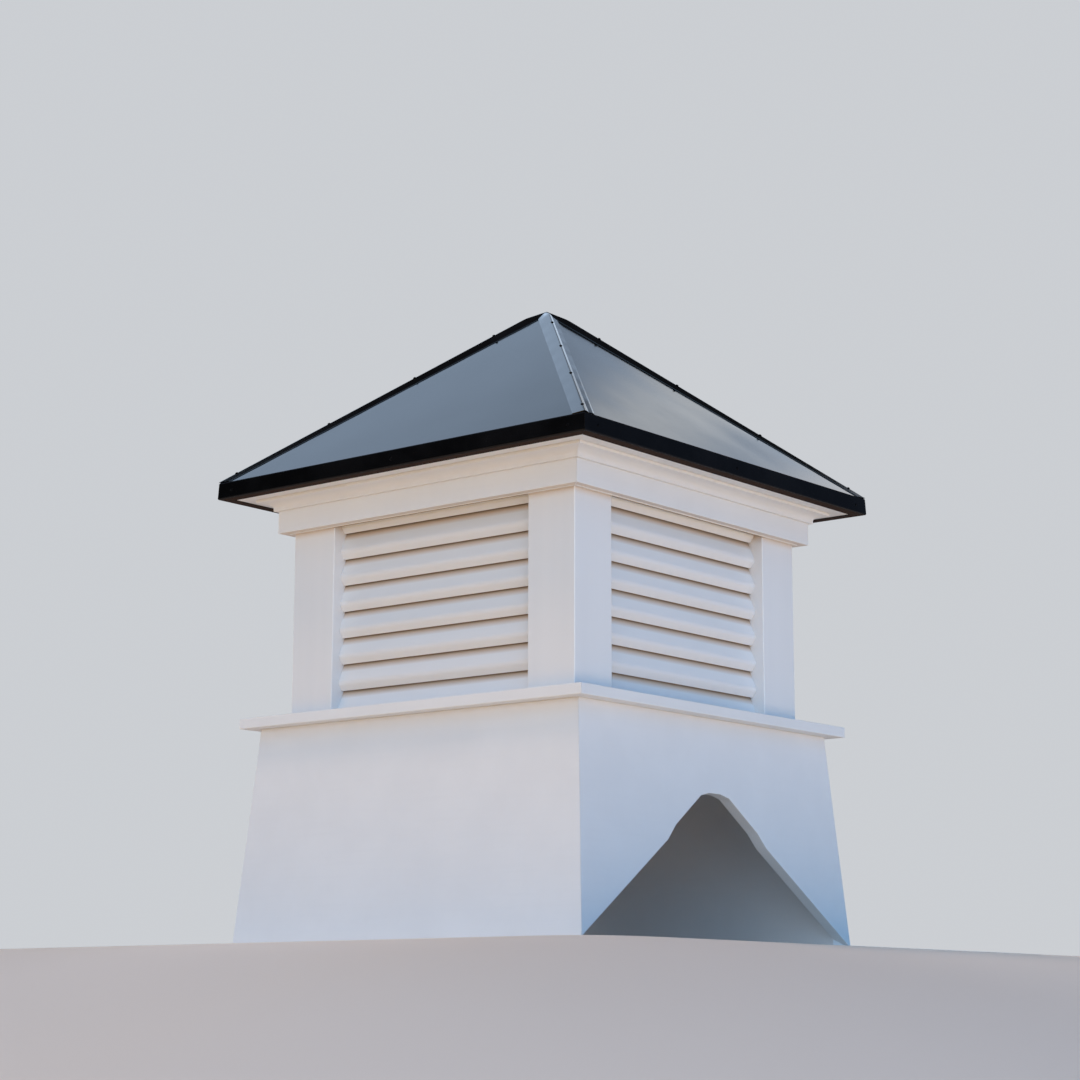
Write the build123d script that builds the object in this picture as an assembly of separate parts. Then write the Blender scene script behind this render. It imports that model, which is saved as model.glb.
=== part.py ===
from build123d import *
import math
import os

# Square louvred roof cupola with a notched, flared base and a hipped sheet metal roof.
# Millimetres, +Z up. The origin is the middle of the footprint, at the lowest edge of the base.
# The front faces -Y. The ridge that the base straddles runs along X, so the left and right
# base panels (-X and +X) have the notch and the front and back panels are plain.

# Base
base_flare = 25.5
base_height = 332.0
base_board = 19.0

# Notch over the ridge of the main roof
roof_pitch_ratio = 8.0 / 12.0
ridge_cap_half_width = 104.0
ridge_cap_step = 8.0
ridge_cap_step_run = 22.0
ridge_round_half_width = 36.0
ridge_round_drop = 17.0
ridge_flat_half_width = 14.0
ridge_flat_drop = 5.0

# Sill shelf: how far it stands out past the posts and past the top of the base
sill_ledge = 56.5
sill_nosing = 24.0
sill_thickness = 16.0
sill_board_width = 145.0

# Corner posts: hollow square tubes
post_width = 87.0
post_wall = 5.0
post_edge_radius = 2.5

# Louvre slats
slat_count = 8
slat_pitch = 41.5
slat_seat_gap = 0.3
slat_end_gap = 0.15
slat_thickness = 2.5
slat_edge_recess = 22.5
slat_nose_recess = 13.5
slat_nose_rise = 11.5
slat_blade_gap = 1.0
slat_top_overlap = 3.0

# Frieze, the head board behind it and the crown moulding on it
head_show = 5.5
frieze_board = 13.0
head_board_thickness = 6.0
head_board_drop = 1.0
crown_foot_depth = 6.0
crown_foot_height = 5.0
crown_top_depth = 25.5
crown_top_height = 4.5
crown_height = 18.0
frieze_show = 35.5

# Eave boards and sheet metal roof
eave_board_thickness = 19.0
eave_board_width = 128.0
eave_clearance = 0.5
roof_side = 740.0
eave_overhang = 42.0
roof_rise = 300.2
roof_sheet = 1.2
fascia_height = 26.2
fascia_lean = 1.2
eave_lip = 18.5

# Hip caps: a strip bent along its crest, which stands clear of the hip and is bevelled near the apex
hip_flange = 17.0
hip_sheet = 1.0
hip_crest_at_eave = 2.7
hip_crest_at_apex = 9.5
hip_bevel_run = 22.0
hip_bevel_end = 2.0
hip_mitre_gap = 1.0
hip_seat_gap = 0.1

# How far a cutting shape runs past what it cuts
cut_margin = 10.0

# Heights worked out from the sizes above
sill_bottom_z = base_height
sill_top_z = sill_bottom_z + sill_thickness
slat_foot_z = sill_top_z + slat_seat_gap
frieze_bottom_z = slat_foot_z + slat_pitch * (slat_count - 1) + head_show
crown_bottom_z = frieze_bottom_z + frieze_show
soffit_z = crown_bottom_z + crown_height
fascia_bottom_z = soffit_z - roof_sheet
eave_z = fascia_bottom_z + fascia_height
apex_z = eave_z + roof_rise

# Plan sizes worked out inward from the roof's edge to the posts, and from there out and down to the base
frieze_side = roof_side - 2 * (eave_overhang + crown_top_depth)
post_outer_side = frieze_side - 2 * (frieze_board + head_board_thickness)
sill_side = post_outer_side + 2 * sill_ledge
base_top_side = sill_side - 2 * sill_nosing
base_bottom_side = base_top_side + 2 * base_flare

# Half widths
roof_half = roof_side / 2
frieze_half = frieze_side / 2
post_half = post_outer_side / 2
sill_half = sill_side / 2
base_top_half = base_top_side / 2
base_bottom_half = base_bottom_side / 2

side_names = ["front", "right", "back", "left"]
corner_names = ["front_right", "back_right", "back_left", "front_left"]


def wedge(reach, bottom, top):
    """The quarter of the plan that belongs to the front side, between the two diagonals."""
    plan = make_face(Polyline((0, 0), (reach, -reach), (-reach, -reach), close=True))
    return Pos(0, 0, bottom) * extrude(plan, top - bottom)


def front_side(profile, reach):
    """Carry a profile, drawn as (distance out from the middle, height), along the front and mitre both ends."""
    box = profile.bounding_box()
    run = extrude(profile, reach, both=True)
    return run & wedge(reach, box.min.Z - cut_margin, box.max.Z + cut_margin)


def profile_face(points):
    """A closed polygon of (distance out, height) points, standing in the plane across the front side."""
    return make_face(Polyline(*[(0, -out, height) for out, height in points], close=True))


def base_panel():
    """A tapered board of the flared base, mitred on the diagonals."""
    panel_points = [
        (base_bottom_half, 0),
        (base_bottom_half - base_board, 0),
        (base_top_half - base_board, base_height),
        (base_top_half, base_height),
    ]
    return front_side(profile_face(panel_points), base_bottom_half + base_board)


def ridge_notch():
    """A prism along X with the outline of the main roof: its two slopes and the raised ridge cap."""
    def slope_z(out):
        return (base_bottom_half - out) * roof_pitch_ratio

    step_foot = ridge_cap_half_width + ridge_cap_step_run
    top_z = slope_z(0) + ridge_cap_step
    half_outline = [
        (base_bottom_half, 0),
        (step_foot, slope_z(step_foot)),
        (ridge_cap_half_width, slope_z(ridge_cap_half_width) + ridge_cap_step),
        (ridge_round_half_width, top_z - ridge_round_drop - ridge_flat_drop),
        (ridge_flat_half_width, top_z - ridge_round_drop),
    ]
    mirrored = [(-out, height) for out, height in reversed(half_outline)]
    outline = profile_face(half_outline + mirrored)
    return extrude(outline, base_bottom_side, both=True)


def sill_board():
    """One side of the flat shelf between the base and the posts."""
    sill_inner = sill_half - sill_board_width
    points = [(sill_half, sill_bottom_z), (sill_inner, sill_bottom_z), (sill_inner, sill_top_z), (sill_half, sill_top_z)]
    return front_side(profile_face(points), sill_half + sill_thickness)


def corner_post():
    """A hollow square post at the front right corner, from the sill to the eave boards."""
    centre = post_half - post_width / 2
    bore = post_width - 2 * post_wall
    outside = RectangleRounded(post_width, post_width, post_edge_radius)
    section = outside - Rectangle(bore, bore)
    return Pos(centre, -centre, sill_top_z) * extrude(section, soffit_z - sill_top_z)


def offset_point(before, point, after, distance):
    """The mitred corner of a strip: the point moved by distance square to both of its edges."""
    first = Vector(point[0] - before[0], point[1] - before[1]).normalized()
    second = Vector(after[0] - point[0], after[1] - point[1]).normalized()
    normal_one = Vector(-first.Y, first.X)
    normal_two = Vector(-second.Y, second.X)
    bisector = (normal_one + normal_two).normalized()
    reach = distance / bisector.dot(normal_one)
    return (point[0] + bisector.X * reach, point[1] + bisector.Y * reach)


def slat_section():
    """A slat as (distance out, height above its lower edge): a steep blade above a nose and a returned lip.

    The blade runs up behind the lip of the next slat and clears it by slat_blade_gap.
    """
    edge = (post_half - slat_edge_recess, 0.0)
    nose = (post_half - slat_nose_recess, slat_nose_rise)
    lip_angle = math.atan2(nose[1] - edge[1], nose[0] - edge[0])
    pass_out = edge[0] - slat_thickness / math.sin(lip_angle) - slat_blade_gap
    top_share = (slat_pitch + slat_top_overlap - nose[1]) / (slat_pitch - nose[1])
    top = (nose[0] + (pass_out - nose[0]) * top_share, slat_pitch + slat_top_overlap)
    before = (2 * edge[0] - nose[0], 2 * edge[1] - nose[1])
    after = (2 * top[0] - nose[0], 2 * top[1] - nose[1])
    inner_edge = offset_point(before, edge, nose, slat_thickness)
    inner_nose = offset_point(edge, nose, top, slat_thickness)
    inner_top = offset_point(nose, top, after, slat_thickness)
    foot = (inner_edge[0] - inner_edge[1] * (inner_nose[0] - inner_edge[0]) / (inner_nose[1] - inner_edge[1]), 0.0)
    return [edge, nose, top, inner_top, inner_nose, foot]


def louvre_slats():
    """All slats of the front bay, fixed between the posts."""
    length = post_outer_side - 2 * post_width - 2 * slat_end_gap
    slats = []
    for index in range(slat_count):
        lift = slat_foot_z + index * slat_pitch
        section = profile_face([(out, height + lift) for out, height in slat_section()])
        slats.append(extrude(section, length / 2, both=True))
    return Compound(children=[slat.solid() for slat in slats])


def frieze_board_piece():
    """A plain board that wraps the head of the posts, proud of them."""
    inner = frieze_half - frieze_board
    points = [(frieze_half, frieze_bottom_z), (inner, frieze_bottom_z), (inner, soffit_z), (frieze_half, soffit_z)]
    return front_side(profile_face(points), frieze_half + frieze_board)


def head_board_piece():
    """A thin filler board between the frieze board and the posts, a little lower than the frieze."""
    outer = frieze_half - frieze_board
    bottom = frieze_bottom_z - head_board_drop
    points = [(outer, bottom), (post_half, bottom), (post_half, soffit_z), (outer, soffit_z)]
    return front_side(profile_face(points), frieze_half)


def crown_moulding():
    """A cove moulding in the corner between frieze and soffit."""
    foot_out = frieze_half + crown_foot_depth
    top_out = frieze_half + crown_top_depth
    foot_top = crown_bottom_z + crown_foot_height
    cove_top = soffit_z - crown_top_height
    bend = 1 - math.sqrt(0.5)
    middle = (foot_out + (top_out - foot_out) * bend, cove_top - (cove_top - foot_top) * bend)
    edge = [
        Line((0, -frieze_half, soffit_z), (0, -frieze_half, crown_bottom_z)),
        Line((0, -frieze_half, crown_bottom_z), (0, -foot_out, crown_bottom_z)),
        Line((0, -foot_out, crown_bottom_z), (0, -foot_out, foot_top)),
        ThreePointArc((0, -foot_out, foot_top), (0, -middle[0], middle[1]), (0, -top_out, cove_top)),
        Line((0, -top_out, cove_top), (0, -top_out, soffit_z)),
        Line((0, -top_out, soffit_z), (0, -frieze_half, soffit_z)),
    ]
    return front_side(make_face(Wire(edge)), top_out + crown_height)


def eave_board():
    """A flat board over the posts. Its underside is the soffit and its outer edge backs the fascia."""
    outer = roof_half - roof_sheet - eave_clearance
    inner = outer - eave_board_width
    top = soffit_z + eave_board_thickness
    points = [(outer, soffit_z), (inner, soffit_z), (inner, top), (outer, top)]
    return front_side(profile_face(points), roof_half)


def roof_panel():
    """One triangle of the roof with its fascia and the lip under it, folded from a single sheet."""
    pitch = math.atan2(roof_rise, roof_half)
    fascia_foot = roof_half + fascia_lean
    lip_inner = roof_half - eave_lip
    sheet_drop = roof_sheet / math.cos(pitch)
    inside_corner_z = eave_z - roof_sheet * math.tan(math.pi / 4 + pitch / 2) + roof_sheet
    points = [
        (0, apex_z),
        (roof_half, eave_z),
        (fascia_foot, fascia_bottom_z),
        (lip_inner, fascia_bottom_z),
        (lip_inner, soffit_z),
        (fascia_foot - roof_sheet, soffit_z),
        (roof_half - roof_sheet, inside_corner_z - roof_sheet),
        (0, apex_z - sheet_drop),
    ]
    return front_side(profile_face(points), roof_half + eave_lip)


def hip_section(origin, along, crest):
    """The section of a hip cap: both undersides lie on the panels and the top runs up to the crest."""
    slope = roof_rise / roof_half
    side_fall = math.atan(slope / math.sqrt(2 + slope ** 2))
    edge_u = hip_flange * math.cos(side_fall)
    edge_v = -hip_flange * math.sin(side_fall)
    top_u = edge_u + hip_sheet * math.sin(side_fall)
    top_v = edge_v + hip_sheet * math.cos(side_fall)
    points = [(0, 0), (edge_u, edge_v), (top_u, top_v), (0, crest), (-top_u, top_v), (-edge_u, edge_v)]
    section_plane = Plane(origin=origin, x_dir=Vector(-1, -1, 0), z_dir=along)
    return section_plane * make_face(Polyline(*points, close=True))


def hip_cap():
    """The cap over the front right hip, cut off at the eaves, mitred and bevelled at the apex."""
    length = math.hypot(roof_half * math.sqrt(2), roof_rise)
    level_share = roof_half * math.sqrt(2) / length
    along = Vector(-roof_half, roof_half, roof_rise).normalized()
    foot = Vector(roof_half, -roof_half, eave_z + hip_seat_gap)
    sections = []
    for distance in (-hip_flange, length + hip_flange):
        crest_rise = hip_crest_at_eave + (hip_crest_at_apex - hip_crest_at_eave) * distance / length
        sections.append(hip_section(foot + along * distance, along, crest_rise * level_share))
    cap = loft(sections, ruled=True)
    room = roof_half - hip_mitre_gap / 2
    room_bottom = eave_z - hip_flange - cut_margin
    room_height = apex_z + hip_crest_at_apex + cut_margin - room_bottom
    corner = Pos(roof_half - room / 2, -roof_half + room / 2, room_bottom + room_height / 2)
    cap = cap & (corner * Box(room, room, room_height))
    crest_fall = (roof_rise + hip_crest_at_apex - hip_crest_at_eave) / roof_half
    bevel_foot = hip_bevel_run * math.sqrt(2)
    bevel_points = [
        (bevel_foot, apex_z + hip_crest_at_apex - crest_fall * hip_bevel_run),
        (0, apex_z + hip_bevel_end),
        (-cut_margin, apex_z + hip_bevel_end),
        (-cut_margin, apex_z + hip_crest_at_apex + cut_margin),
        (bevel_foot, apex_z + hip_crest_at_apex + cut_margin),
    ]
    diagonal_plane = Plane(origin=(0, 0, hip_seat_gap), x_dir=(1, -1, 0), z_dir=(-1, -1, 0))
    bevel_face = diagonal_plane * make_face(Polyline(*bevel_points, close=True))
    return cap - extrude(bevel_face, 2 * hip_flange, both=True)


def save(name, shape):
    """Write one node, named after its file."""
    shape.label = name
    export_step(shape, f"parts/{name}.step")


def save_ring(piece, shape, names):
    """Write a piece and its three copies, turned by quarter turns about the middle."""
    for index, name in enumerate(names):
        save(f"{piece}_{name}", Rot(0, 0, 90 * index) * shape)


os.makedirs("parts", exist_ok=True)

plain_panel = base_panel()
notch = Rot(0, 0, -90) * ridge_notch()
notched_panel = plain_panel - notch
for index, name in enumerate(side_names):
    panel = plain_panel if name in ("front", "back") else notched_panel
    save(f"base_panel_{name}", Rot(0, 0, 90 * index) * panel)

save_ring("sill_board", sill_board(), side_names)
save_ring("corner_post", corner_post(), corner_names)
save_ring("louvre_slats", louvre_slats(), side_names)
save_ring("head_board", head_board_piece(), side_names)
save_ring("frieze_board", frieze_board_piece(), side_names)
save_ring("crown_moulding", crown_moulding(), side_names)
save_ring("eave_board", eave_board(), side_names)
save_ring("roof_panel", roof_panel(), side_names)
save_ring("hip_cap", hip_cap(), corner_names)
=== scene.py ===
"""Look of a square louvred roof cupola with a notched, flared base and a black sheet metal hip roof.

Metres, +Z up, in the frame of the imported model: the origin is the middle of the footprint at the lowest edge
of the base, the front faces -Y and the right side +X. Each part is worked out for the front, or for the front
right corner, and turned by quarter turns to the other three.
"""
from __future__ import annotations

import logging
import math
from dataclasses import dataclass, field, replace
from enum import Enum
from typing import Any

import bpy
import numpy as np
from mathutils import Matrix, Vector

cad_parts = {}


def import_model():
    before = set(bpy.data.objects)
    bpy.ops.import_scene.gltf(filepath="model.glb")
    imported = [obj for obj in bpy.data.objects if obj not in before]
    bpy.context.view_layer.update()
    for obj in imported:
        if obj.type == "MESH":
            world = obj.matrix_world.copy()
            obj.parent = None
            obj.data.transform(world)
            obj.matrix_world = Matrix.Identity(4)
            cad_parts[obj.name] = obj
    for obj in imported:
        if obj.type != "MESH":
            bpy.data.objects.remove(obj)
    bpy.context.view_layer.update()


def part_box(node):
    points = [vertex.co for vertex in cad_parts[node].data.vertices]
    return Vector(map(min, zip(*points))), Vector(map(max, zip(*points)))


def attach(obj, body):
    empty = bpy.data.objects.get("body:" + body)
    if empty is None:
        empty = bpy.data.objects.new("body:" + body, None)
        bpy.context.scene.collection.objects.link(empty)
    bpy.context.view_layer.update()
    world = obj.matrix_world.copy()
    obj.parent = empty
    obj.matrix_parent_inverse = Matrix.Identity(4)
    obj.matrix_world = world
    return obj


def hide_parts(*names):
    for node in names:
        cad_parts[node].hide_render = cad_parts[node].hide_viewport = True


MM = 0.001
BODY = "root"
LOG = logging.getLogger("cupola")
Socket = bpy.types.NodeSocket
Material = bpy.types.Material

# An edge is sharp past this angle, and a face looks straight down where its normal's Z is under this
SHARP_ANGLE = math.radians(30)
STRAIGHT_DOWN = -0.99

# Heights this close count as one, and no mitred piece is narrower than this on either side of its middle
SAME_HEIGHT = 0.01 * MM
NARROWEST = 0.05 * MM

# Edge marks, one on every point of a mesh, by which the finishes paint light and shade: a painted highlight
# on rounded edges, the plain surface, a painted warm half-shade and painted deep shade in gaps and hollows;
# between them the tint blends
PAINTED_HIGHLIGHT = 1.0
PLAIN = 0.0
HALF_SHADE = -1.0
PAINTED_DEEP_SHADE = -2.0


class Place(Enum):
    """A place that a piece is turned to, given by its number of quarter turns."""

    @property
    def word(self) -> str:
        """The place's name as the nodes write it."""
        return self.name.lower()


class Side(Place):
    """The four sides, each with its number of quarter turns from the front."""

    FRONT = 0
    RIGHT = 1
    BACK = 2
    LEFT = 3

    @property
    def notched(self) -> bool:
        """Whether this side's base panel has the notch."""
        return self in (Side.RIGHT, Side.LEFT)


class Corner(Place):
    """The four corners, each with its number of quarter turns from the front right one."""

    FRONT_RIGHT = 0
    BACK_RIGHT = 1
    BACK_LEFT = 2
    FRONT_LEFT = 3


class Slot(Enum):
    """Names of the material slots."""

    BOARD = "board_white"
    VINYL = "vinyl_white"
    ROOF = "roof_black"


class Run(Enum):
    """Where a surface's fine streaks run, as the stretch of its pattern along X, Y and Z."""

    ALONG_X = (0.05, 1.0, 1.0)
    ALONG_Y = (1.0, 0.05, 1.0)
    UPRIGHT = (1.0, 1.0, 0.05)

    @classmethod
    def of(cls, side: Side) -> "Run":
        """The run of a board that lies along a side."""
        return cls.ALONG_Y if side.notched else cls.ALONG_X


# Outlines and surfaces


def rounded_outline(corners: list[tuple[float, float]], radii: list[float], steps: int = 5,
                    guard: float = 0.25 * MM, marks: list[float] | None = None) -> np.ndarray:
    """Rounds the corners of a closed outline and marks the rounded points.

    With half the angle between a corner's edges called h, an arc of radius r touches them r / tan h from the
    corner and has its centre r / sin h along their bisector. Its points are blends of the two radii to the
    touching points, by the sines of the angles left and passed. A guard point on each edge beside the arc
    keeps the flat shaded flat.

    Args:
        corners: the outline's corners as (distance out, height).
        radii: one radius per corner; a corner with radius 0 stays as it is.
        steps: number of chords in an arc.
        guard: distance of the guard points from the arc.
        marks: the edge mark of each corner's arc, or None for the painted edge highlight on all.

    Returns:
        Rows of (distance out, height, edge), where edge is the mark on an arc and plain on the flats.
    """
    corner = np.asarray(corners, float)
    before = np.roll(corner, 1, axis=0) - corner
    after = np.roll(corner, -1, axis=0) - corner
    before /= np.linalg.norm(before, axis=1, keepdims=True)
    after /= np.linalg.norm(after, axis=1, keepdims=True)
    half = np.arccos(np.clip((before * after).sum(axis=1), -1, 1)) / 2
    share = np.linspace(0, 1, steps + 1)[:, None]
    rows = []
    arc_marks = [PAINTED_HIGHLIGHT] * len(corners) if marks is None else marks
    for point, back, on, angle, radius, mark in zip(corner, before, after, half, radii, arc_marks):
        if radius == 0:
            rows.append(np.append(point, PLAIN)[None, :])
            continue
        reach = radius / math.tan(angle)
        bisector = (back + on) / np.linalg.norm(back + on)
        centre = point + bisector * radius / math.sin(angle)
        first = point + back * reach - centre
        last = point + on * reach - centre
        swept = math.pi - 2 * angle
        arc = centre + (np.sin((1 - share) * swept) * first + np.sin(share * swept) * last) / math.sin(swept)
        guards = np.array([point + back * (reach + guard), point + on * (reach + guard)])
        ring = np.concatenate([guards[:1], arc, guards[1:]])
        edge = np.concatenate([[PLAIN], np.full(steps + 1, mark), [PLAIN]])
        rows.append(np.column_stack([ring, edge]))
    return np.concatenate(rows)


def drawn_in(outline: np.ndarray, distance: float) -> np.ndarray:
    """Moves every edge of a closed outline inward by distance.

    A point moves along the sum of its two edges' inward normals, divided by one plus their dot product.

    Args:
        outline: rows of (distance out, height, edge).
        distance: how far each edge moves.

    Returns:
        The moved outline, marked with the painted edge highlight all round.
    """
    flat = outline[:, :2]
    edge = np.roll(flat, -1, axis=0) - flat
    edge /= np.linalg.norm(edge, axis=1, keepdims=True)
    following = np.roll(flat, -1, axis=0)
    area = (flat[:, 0] * following[:, 1] - following[:, 0] * flat[:, 1]).sum()
    normal = np.column_stack([-edge[:, 1], edge[:, 0]]) * np.sign(area)
    previous = np.roll(normal, 1, axis=0)
    shift = (normal + previous) / (1 + (normal * previous).sum(axis=1, keepdims=True))
    return np.column_stack([flat + shift * distance, np.full(len(flat), PAINTED_HIGHLIGHT)])


def finer(outline: np.ndarray, step: float) -> np.ndarray:
    """Adds points every step along a closed outline, where none stands within a quarter of a step.

    Args:
        outline: rows of (distance out, height, edge).
        step: distance between added points, measured along the outline.

    Returns:
        The outline with the added points, by straight interpolation.
    """
    closed = np.concatenate([outline, outline[:1]])
    length = np.concatenate([[0], np.cumsum(np.linalg.norm(np.diff(closed[:, :2], axis=0), axis=1))])
    spaced = np.arange(step, length[-1], step)
    clear = np.abs(spaced[:, None] - length[None, :]).min(axis=1) > step / 4
    places = np.sort(np.concatenate([length[:-1], spaced[clear]]))
    return np.column_stack([np.interp(places, length, closed[:, axis]) for axis in range(3)])


def board_section(node: str, radius: float) -> np.ndarray:
    """The section of a plain board on the front: the node's box with rounded corners."""
    low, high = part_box(node + "_front")
    corners = [(-low.y, low.z), (-low.y, high.z), (-high.y, high.z), (-high.y, low.z)]
    return rounded_outline(corners, [radius] * 4)


def grid_cells(index: np.ndarray) -> np.ndarray:
    """The quads between neighbours on a grid of point numbers."""
    return np.stack([index[:-1, :-1], index[:-1, 1:], index[1:, 1:], index[1:, :-1]], axis=-1).reshape(-1, 4)


@dataclass
class Surface:
    """A closed mesh in the making: points, quads, each point's edge mark and flat end faces."""

    points: np.ndarray
    quads: np.ndarray
    edge: np.ndarray
    rims: list[np.ndarray] = field(default_factory=list)

    @classmethod
    def ring_grid(cls, grid: np.ndarray, edge: np.ndarray, closed_rows: bool = False) -> "Surface":
        """A grid whose rows are closed rings: quad (k, i) joins points i and i + 1 of rows k and k + 1.

        Args:
            grid: points as (rows, ring points, 3).
            edge: edge marks as (rows, ring points).
            closed_rows: joins the last row to the first, as on a bored tube, instead of facing the ends.

        Returns:
            The closed surface.
        """
        rows, around = grid.shape[:2]
        index = np.arange(rows * around).reshape(rows, around)
        aside = np.roll(index, -1, axis=1)
        if closed_rows:
            quads = np.stack([index, aside, np.roll(aside, -1, axis=0), np.roll(index, -1, axis=0)], axis=-1)
            rims = []
        else:
            quads = np.stack([index[:-1], aside[:-1], aside[1:], index[1:]], axis=-1)
            rims = [index[0, ::-1], index[-1]]
        return cls(grid.reshape(-1, 3), quads.reshape(-1, 4), edge.reshape(-1), rims)

    @classmethod
    def slab(cls, face: np.ndarray, back: np.ndarray) -> "Surface":
        """The body between two open grids of the same shape, closed by a strip round their border.

        Args:
            face: points of the outer face as (rows, columns, 3).
            back: points of the inner face in the same order.

        Returns:
            The closed surface.
        """
        rows, columns = face.shape[:2]
        count = rows * columns
        index = np.arange(count).reshape(rows, columns)
        cells = grid_cells(index)
        loop = np.concatenate([index[0, :-1], index[:-1, -1], index[-1, :0:-1], index[:0:-1, 0]])
        on = np.roll(loop, -1)
        border = np.column_stack([on, loop, loop + count, on + count])
        points = np.concatenate([face.reshape(-1, 3), back.reshape(-1, 3)])
        return cls(points, np.concatenate([cells, cells[:, ::-1] + count, border]), np.full(2 * count, PLAIN))

    @classmethod
    def joined(cls, parts: list["Surface"]) -> "Surface":
        """One surface of several, which stay loose from each other."""
        starts = np.cumsum([0] + [len(part.points) for part in parts[:-1]])
        rims = [rim + start for part, start in zip(parts, starts) for rim in part.rims]
        return cls(np.concatenate([part.points for part in parts]),
                   np.concatenate([part.quads + start for part, start in zip(parts, starts)]),
                   np.concatenate([part.edge for part in parts]), rims)

    def moved(self, x: float, y: float, z: float) -> "Surface":
        """A copy moved by (x, y, z)."""
        return replace(self, points=self.points + np.array([x, y, z]))

    def turned(self, quarter_turns: int) -> "Surface":
        """A copy turned about the middle: each quarter turn sends (x, y) to (-y, x)."""
        turn = np.linalg.matrix_power(np.array([[0, -1, 0], [1, 0, 0], [0, 0, 1]]), quarter_turns)
        return replace(self, points=self.points @ turn.T)

    def outward(self) -> "Surface":
        """A copy whose faces point outwards, told by the sign of the volume that they enclose."""
        first, second, third, fourth = (self.points[self.quads[:, i]] for i in range(4))
        volume = (first * np.cross(second, third)).sum() + (first * np.cross(third, fourth)).sum()
        for rim in self.rims:
            ring = self.points[rim]
            volume += (ring[0] * np.cross(ring[1:-1], ring[2:])).sum()
        if volume > 0:
            return self
        return replace(self, quads=self.quads[:, ::-1], rims=[rim[::-1] for rim in self.rims])


def mitred_run(outline: np.ndarray, gap: float = 0.1 * MM, ease: float = 0.35 * MM,
               between: np.ndarray | None = None) -> Surface:
    """Carries an outline along the front and mitres both ends on the diagonals.

    A point at distance out and height z lies at (c (out - m), -out, z): c runs from -1 to 1 along the piece,
    and m is what the joint takes off there. The end rows are drawn in by ease, which leaves a fine V at the
    mitre.

    Args:
        outline: rows of (distance out, height, edge).
        gap: half the opening of the joint.
        ease: size of the eased edge at each end.
        between: further values of c between the ends.

    Returns:
        The closed surface.
    """
    eased = drawn_in(outline, ease)
    inner = np.array([]) if between is None else between
    along = np.concatenate([[-1, -1, -1], inner, [1, 1, 1]])
    near_end = np.array([gap, gap + ease, gap + 2 * ease])
    taken = np.concatenate([near_end, np.full(len(inner), near_end[2]), near_end[::-1]])
    rings = np.repeat(outline[None], len(along), axis=0)
    # The eased ends carry the painted edge highlight.
    rings[[0, -1]] = eased
    rings[[1, -2], :, 2] = PAINTED_HIGHLIGHT
    out, height, edge = np.moveaxis(rings, -1, 0)
    x = along[:, None] * np.maximum(out - taken[:, None], NARROWEST)
    return Surface.ring_grid(np.stack([x, -out, height], axis=-1), edge)


def straight_run(outline: np.ndarray, half_length: float, ease: float = 0.3 * MM) -> Surface:
    """Carries an outline straight along the front, from x = -half_length to half_length, with eased ends.

    Args:
        outline: rows of (distance out, height, edge).
        half_length: half the piece's length.
        ease: size of the eased edge at each end.

    Returns:
        The closed surface.
    """
    ends = np.array([half_length, half_length - ease, half_length - 2 * ease])
    x = np.concatenate([-ends, ends[::-1]])
    rings = np.repeat(outline[None], len(x), axis=0)
    # The eased ends carry the painted edge highlight.
    rings[[0, -1]] = drawn_in(outline, ease)
    out, height, edge = np.moveaxis(rings, -1, 0)
    return Surface.ring_grid(np.stack([np.broadcast_to(x[:, None], out.shape), -out, height], axis=-1), edge)


def raise_piece(name: str, place: Place, surface: Surface, material: Material,
                node: str = "", bevel: float = 0.0, underside: Material | None = None) -> None:
    """Makes a finished piece of a surface: mesh, finish, body and the node that it stands for.

    Args:
        name: the piece's name without its place.
        place: the side or corner that it is for.
        surface: its closed surface, as it stands at the front or the front right corner.
        material: its finish.
        node: the CAD node that it replaces, without its place, or nothing where it replaces none.
        bevel: width of a rounded edge on all sharp edges, or 0 for none.
        underside: the finish of the faces that look straight down, where it differs.
    """
    full_name = f"{name}_{place.word}"
    out = surface.turned(place.value).outward()
    mesh = bpy.data.meshes.new(full_name)
    mesh.from_pydata(out.points.tolist(), [], out.quads.tolist() + [rim.tolist() for rim in out.rims])
    mesh.polygons.foreach_set("use_smooth", np.ones(len(mesh.polygons), bool))
    mesh.set_sharp_from_angle(angle=SHARP_ANGLE)
    # Edge marks, by which the finishes paint highlights and shade.
    mark = mesh.attributes.new("edge", "FLOAT", "POINT")
    mark.data.foreach_set("value", out.edge.astype(np.float32))
    mesh.materials.append(material)
    if underside is not None:
        mesh.materials.append(underside)
        normals = np.empty(3 * len(mesh.polygons), np.float32)
        mesh.polygons.foreach_get("normal", normals)
        mesh.polygons.foreach_set("material_index", (normals[2::3] < STRAIGHT_DOWN).astype(np.int32))
    piece = bpy.data.objects.new(full_name, mesh)
    bpy.context.scene.collection.objects.link(piece)
    if bevel:
        rounding = piece.modifiers.new("eased edges", "BEVEL")
        rounding.width = bevel
        rounding.segments = 3
        rounding.limit_method = "ANGLE"
        rounding.angle_limit = SHARP_ANGLE
        rounding.harden_normals = True
    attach(piece, BODY)
    if node:
        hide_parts(f"{node}_{place.word}")
    LOG.info("%s: %d faces", full_name, len(mesh.polygons))


# Finishes


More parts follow.
